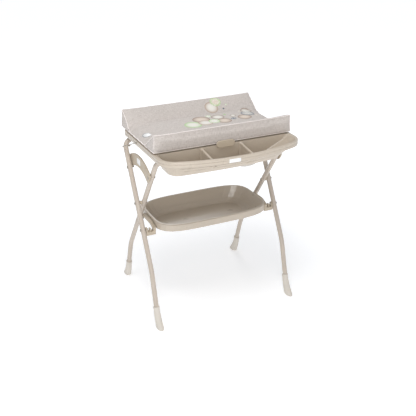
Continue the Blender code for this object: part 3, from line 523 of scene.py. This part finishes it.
def stuffed(name, form, material, swell):
    """A padded piece: remeshed, blown up by a cloth simulation, and kept close to its starting shape."""
    made = piece(name, form, material, "mat")
    remesh = made.modifiers.new("even_mesh", "REMESH")
    remesh.mode = "VOXEL"
    remesh.voxel_size = VOXEL
    bpy.context.view_layer.objects.active = made
    apply_all(made)
    inflate(made, swell)
    rounded = made.modifiers.new("rounding", "SUBSURF")
    rounded.levels = 1
    rounded.render_levels = 1
    apply_all(made)
    made.data.shade_smooth()
    return made


def apply_all(made):
    """Replaces the piece's mesh with the one that its modifiers make."""
    graph = bpy.context.evaluated_depsgraph_get()
    mesh = bpy.data.meshes.new_from_object(made.evaluated_get(graph))
    old = made.data
    made.modifiers.clear()
    made.data = mesh
    mesh.name = old.name
    if not mesh.materials:
        mesh.materials.append(old.materials[0])


def inflate(made, swell):
    """Blows the piece up as cloth under pressure, held at its base, and moves no point more than swell."""
    start = [vert.co.copy() for vert in made.data.vertices]
    held = made.vertex_groups.new(name="held")
    held.add([i for i, spot in enumerate(start) if spot.z < MAT_LOW[2] + 0.002], 1.0, "REPLACE")
    cloth = made.modifiers.new("cloth", "CLOTH")
    settings = cloth.settings
    settings.quality = 5
    settings.mass = 0.2
    settings.use_pressure = True
    settings.uniform_pressure_force = 4.0
    settings.vertex_group_mass = "held"
    settings.effector_weights.gravity = 0.0
    settings.tension_stiffness = 30.0
    settings.compression_stiffness = 18.0
    settings.bending_stiffness = 2.0
    scene = bpy.context.scene
    for number in range(1, SIM_FRAMES + 1):
        scene.frame_set(number)
    apply_all(made)
    for vert, origin in zip(made.data.vertices, start):
        moved = vert.co - origin
        if moved.length > swell:
            vert.co = origin + moved * (swell / moved.length)
    scene.frame_set(1)


def with_normals(made):
    """Each vertex with its normal, taken before any of them moves."""
    return list(zip(made.data.vertices, [vert.normal.copy() for vert in made.data.vertices]))


def fold(made, start, end, width, depth):
    """Presses a soft fold into the piece along a line, deepest at its start, with a ridge beside it."""
    start, end = Vector(start), Vector(end)
    line = end - start
    for vert, normal in with_normals(made):
        share = max(0.0, min(1.0, (vert.co - start).dot(line) / line.length_squared))
        nearest = start + line * share
        off = (vert.co - nearest).length / width
        if off > 2.5:
            continue
        dip = math.exp(-off * off * 2.0) - 0.45 * math.exp(-((off - 1.25) ** 2) * 5.0)
        vert.co -= normal * (depth * dip * (1.0 - share) ** 0.7)


def ripple(made, height, size, seed):
    """Slight unevenness of the cover over its filling."""
    shift = Vector((seed * 3.7, seed * 1.3, seed * 5.1))
    for vert, normal in with_normals(made):
        if vert.co.z > MAT_LOW[2] + 0.003:
            vert.co += normal * (height * noise.noise(vert.co / size + shift))


def end_gather(made, end):
    """Small wrinkles that run in from the pad's welded end."""
    for vert in made.data.vertices:
        into = (MAT_END - vert.co.x * end) / GATHER
        if not 0.0 < into < 1.0 or vert.co.z < MAT_LOW[2] + 0.002:
            continue
        waves = noise.noise(Vector((into * 0.8, vert.co.y / 0.024, 3.0 + end)))
        vert.co.z += 0.0028 * waves * math.sin(into * math.pi) ** 1.2


def weld_lines(name, tree, lines, radius, material):
    """The welded edges of the cover, as thin rounded cords that follow it."""
    form = bmesh.new()
    for start, end, count in lines:
        route = hug(tree, start, end, count, radius * 0.25)
        sweep(form, route, radius, sides=8)
    return piece(name, form, material, "mat")


def build_mat():
    """The mat's bolsters, pad and welds, with folds and gathers at both ends. Returns the pad."""
    plain, printed, weld = mat_cover(False), mat_cover(True), weld_look()
    half = MAT_END - 0.0015
    front = stuffed("mat_front_bolster", prism(wedge_profile(True), half), plain, BOLSTER_SWELL)
    rear = stuffed("mat_rear_bolster", prism(wedge_profile(False), half), printed, BOLSTER_SWELL)
    pad = stuffed("mat_pad", pad_form(), printed, PAD_SWELL)
    for end in (-1, 1):
        corner = (end * (MAT_END - 0.004), CREASE_Y - 0.008, BED_Z - 0.012)
        fold(rear, corner, (end * (MAT_END - 0.075), CREASE_Y + 0.045, BED_Z + 0.032), 0.012, 0.0052)
        fold(rear, corner, (end * (MAT_END - 0.022), CREASE_Y + 0.060, BED_Z + 0.050), 0.008, 0.0028)
        inner = MAT_LOW[1] + BOLSTER_FOOT + 0.006
        corner = (end * (MAT_END - 0.004), inner, BED_Z - 0.012)
        fold(front, corner, (end * (MAT_END - 0.060), inner - 0.045, BED_Z + 0.030), 0.012, 0.0045)
        end_gather(pad, end)
    for number, made in enumerate((front, rear, pad)):
        ripple(made, 0.0007, 0.045, number + 1)
    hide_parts("changing_mat")
    keep_inside(front, rear, pad)
    mat_welds(front, rear, pad, weld)
    return pad


def keep_inside(*made):
    """Holds every point of the mat inside the room it has."""
    for thing in made:
        for vert in thing.data.vertices:
            vert.co.x = max(MAT_LOW[0] - REACH, min(MAT_HIGH[0] + REACH, vert.co.x))
            vert.co.y = max(MAT_LOW[1] - REACH, min(MAT_HIGH[1] + REACH, vert.co.y))
            vert.co.z = max(MAT_LOW[2], min(MAT_HIGH[2] + REACH, vert.co.z))


def mat_welds(front, rear, pad, material):
    """Welds along the bolsters' long edges and round their ends, and the flat flange at the pad's ends."""
    base_z, top_z = MAT_LOW[2] + 0.0015, MAT_HIGH[2] - 0.002
    bolsters = (("front", front, MAT_LOW[1], 1), ("rear", rear, MAT_HIGH[1], -1))
    for name, made, outer, inward in bolsters:
        tree = surface_of(made)
        lines = [
            ((-MAT_END, outer, top_z), (MAT_END, outer, top_z), 90),
            ((-MAT_END, outer, base_z), (MAT_END, outer, base_z), 90),
        ]
        for x in (-MAT_END, MAT_END):
            foot = outer + inward * BOLSTER_BASE
            lines.append(((x, outer, base_z), (x, outer, top_z), 16))
            lines.append(((x, outer + inward * 0.008, top_z), (x, foot, base_z), 28))
            lines.append(((x, outer, base_z), (x, foot, base_z), 22))
        weld_lines(f"mat_{name}_weld", tree, lines, WELD_R, material)
    form = bmesh.new()
    low_y, high_y = MAT_LOW[1] + 0.004, MAT_HIGH[1] - 0.004
    for x in (-MAT_END, MAT_END):
        inward = 0.0035 if x < 0 else -0.0035
        route = []
        for i in range(61):
            y = low_y + (high_y - low_y) * i / 60
            wave = 0.0007 * math.sin(i * 0.9) + 0.0004 * math.sin(i * 2.3 + 1.0)
            route.append(Vector((x + inward, y, MAT_LOW[2] + 0.0018 + wave)))
        sweep(form, route, 0.0046, sides=12, flatten=(1.0, 0.28))
    piece("mat_end_flange", form, material, "mat")


# ---- Labels and small fittings -----------------------------------------------------------------------
def sticker(name, place, size, body, material, thick=0.0004):
    """A thin film with round corners. place(u, v) gives each of its points and the way out of the surface."""
    half_u, half_v, corner = size
    form = bmesh.new()
    outline = []
    for middle_u, middle_v, start in ((1, 1, 0), (-1, 1, 90), (-1, -1, 180), (1, -1, 270)):
        for i in range(7):
            angle = math.radians(start + 15 * i)
            u = middle_u * (half_u - corner) + corner * math.cos(angle)
            v = middle_v * (half_v - corner) + corner * math.sin(angle)
            outline.append((u, v))
    rings = []
    for inset, lift in ((1.0, 0.0), (1.0, thick * 0.7), (0.985, thick), (0.5, thick), (0.0, thick)):
        ring = []
        for u, v in outline:
            point, out = place(u * inset, v * inset)
            ring.append(form.verts.new(Vector(point) + Vector(out) * lift))
        rings.append(ring)
    skin(form, rings)
    form.faces.new(rings[0])
    bmesh.ops.remove_doubles(form, verts=form.verts, dist=1e-6)
    return piece(name, form, material, body)


def build_labels(pad):
    """Blank labels on the tray's rim, on the left lock arm and, with a grey border, on the pad."""
    film = label_stock("label_film", paint(228, 229, 230), paint(238, 238, 237))
    grey = label_stock("label_border", paint(160, 160, 160), paint(172, 171, 170))

    def on_band(u, v):
        x = BAND_LABEL_X + u
        y = BATH_LOW[1] + BOW_RADIUS - math.sqrt(BOW_RADIUS**2 - x**2)
        return (x, y, BATH_HIGH[2] - BAND_LABEL_DROP + v), (x / BOW_RADIUS, -1.0, 0.0)

    sticker("band_label", on_band, BAND_LABEL, "bath", film)
    arm_low, arm_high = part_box("lock_arm_left")

    def on_arm(u, v):
        return (arm_low[0], ARM_LABEL_Y + u, arm_high[2] - ARM_LABEL_DROP + v), (-1.0, 0.0, 0.0)

    sticker("arm_label", on_arm, ARM_LABEL, "lock_arm_left_body", film)
    tree = surface_of(pad)

    def on_pad(u, v):
        above = Vector((MAT_LABEL_X + u, v, BED_Z + 0.05))
        spot, normal, _, _ = tree.ray_cast(above, Vector((0, 0, -1)))
        return spot + normal * 0.0001, normal

    films = (("mat_label_edge", 1.0, 0.0004, grey), ("mat_label", 0.78, 0.0007, film))
    for name, grow, thick, look in films:
        size = [part * grow for part in MAT_LABEL]
        patch = sticker(name, on_pad, size, "mat", look, thick)


def tray_front(tree, x, z):
    """The point of the tray's front at this place, seen from in front of it, and its normal."""
    spot, normal, _, _ = tree.ray_cast(Vector((x, BATH_LOW[1] - 0.02, z)), Vector((0, 1, 0)))
    return spot, normal


def build_tray_trim(material):
    """Raised lines along the front of the tray's body, a round mark and a square catch."""
    tree = surface_of(frame["nodes"]["bath_tub"])
    form = bmesh.new()
    for z, low_x, high_x, radius in TRAY_LINES:
        route = []
        for i in range(TRAY_LINE_STEPS + 1):
            spot, normal = tray_front(tree, low_x + (high_x - low_x) * i / TRAY_LINE_STEPS, z)
            route.append(spot + normal * radius * 0.2)
        sweep(form, route, radius, sides=8)
    piece("tray_lines", form, material, "bath")

    for name, (x, z, *size, thick) in TRAY_MARKS.items():

        def on_front(u, v, x=x, z=z):
            return tray_front(tree, x + u, z + v)

        sticker(name, on_front, size, "bath", material, thick)


def build_hose(material):
    """A clear hose from the drain, which hangs in a loop and is parked on its holder."""
    form = bmesh.new()
    route = smooth_route(HOSE_ROUTE)
    radii = [HOSE_R * (0.97 + 0.03 * math.cos(i * 1.3)) for i in range(len(route))]
    sweep(form, route, radii, sides=20)
    hose = piece("hose", form, material, "bath")
    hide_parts("drain_hose")


def finish_nodes():
    """Gives each node of the frame the material that its slot stands for, and returns the materials."""
    made = {"paint": powder_coat()}
    made["foot_plastic"] = matt_plastic("foot_plastic", (206, 199, 188), (215, 208, 199), 900.0)
    made["zinc_steel"] = zinc()
    made["board"] = matt_plastic("board", (176, 164, 146), (186, 175, 158), 500.0)
    made["gloss_plastic"] = moulded_gloss()
    made["fitting_plastic"] = matt_plastic("fitting_plastic", (184, 170, 150), (192, 179, 160), 700.0)
    for part in frame["record"]["subparts"]:
        node = frame["nodes"][part["node"]]
        if part["material_slot"] in made:
            node.data.materials.clear()
            node.data.materials.append(made[part["material_slot"]])
    return made


def build_stage():
    bpy.ops.mesh.primitive_plane_add(size=2 * FLOOR_HALF)
    floor = bpy.context.object
    floor.name = "floor"
    floor.data.materials.append(floor_look())
    world = bpy.data.worlds.new("studio")
    bpy.context.scene.world = world
    world.use_nodes = True
    sky = world.node_tree.nodes["Background"]
    sky.inputs["Color"].default_value = SKY_COLOUR
    sky.inputs["Strength"].default_value = SKY_STRENGTH
    for name, place, aim, size, power in LAMPS:
        lamp = bpy.data.lights.new(name, "AREA")
        lamp.size = size
        lamp.energy = power
        made = bpy.data.objects.new(name, lamp)
        made.location = place
        made.rotation_euler = (Vector(aim) - Vector(place)).to_track_quat("-Z", "Y").to_euler()
        bpy.context.scene.collection.objects.link(made)


def build_camera():
    lens = bpy.data.cameras.new("camera")
    lens.lens = CAMERA_LENS
    lens.sensor_width = 36.0
    camera = bpy.data.objects.new("camera", lens)
    camera.location = CAMERA_AT
    camera.rotation_euler = (math.radians(90 - CAMERA_DOWN), 0.0, math.radians(CAMERA_TURN))
    bpy.context.scene.collection.objects.link(camera)
    bpy.context.scene.camera = camera


build_camera()
build_hose(vinyl())
build_stage()
looks = finish_nodes()
build_tray_trim(looks["gloss_plastic"])
build_labels(build_mat())
bpy.context.scene.view_settings.view_transform = "Standard"
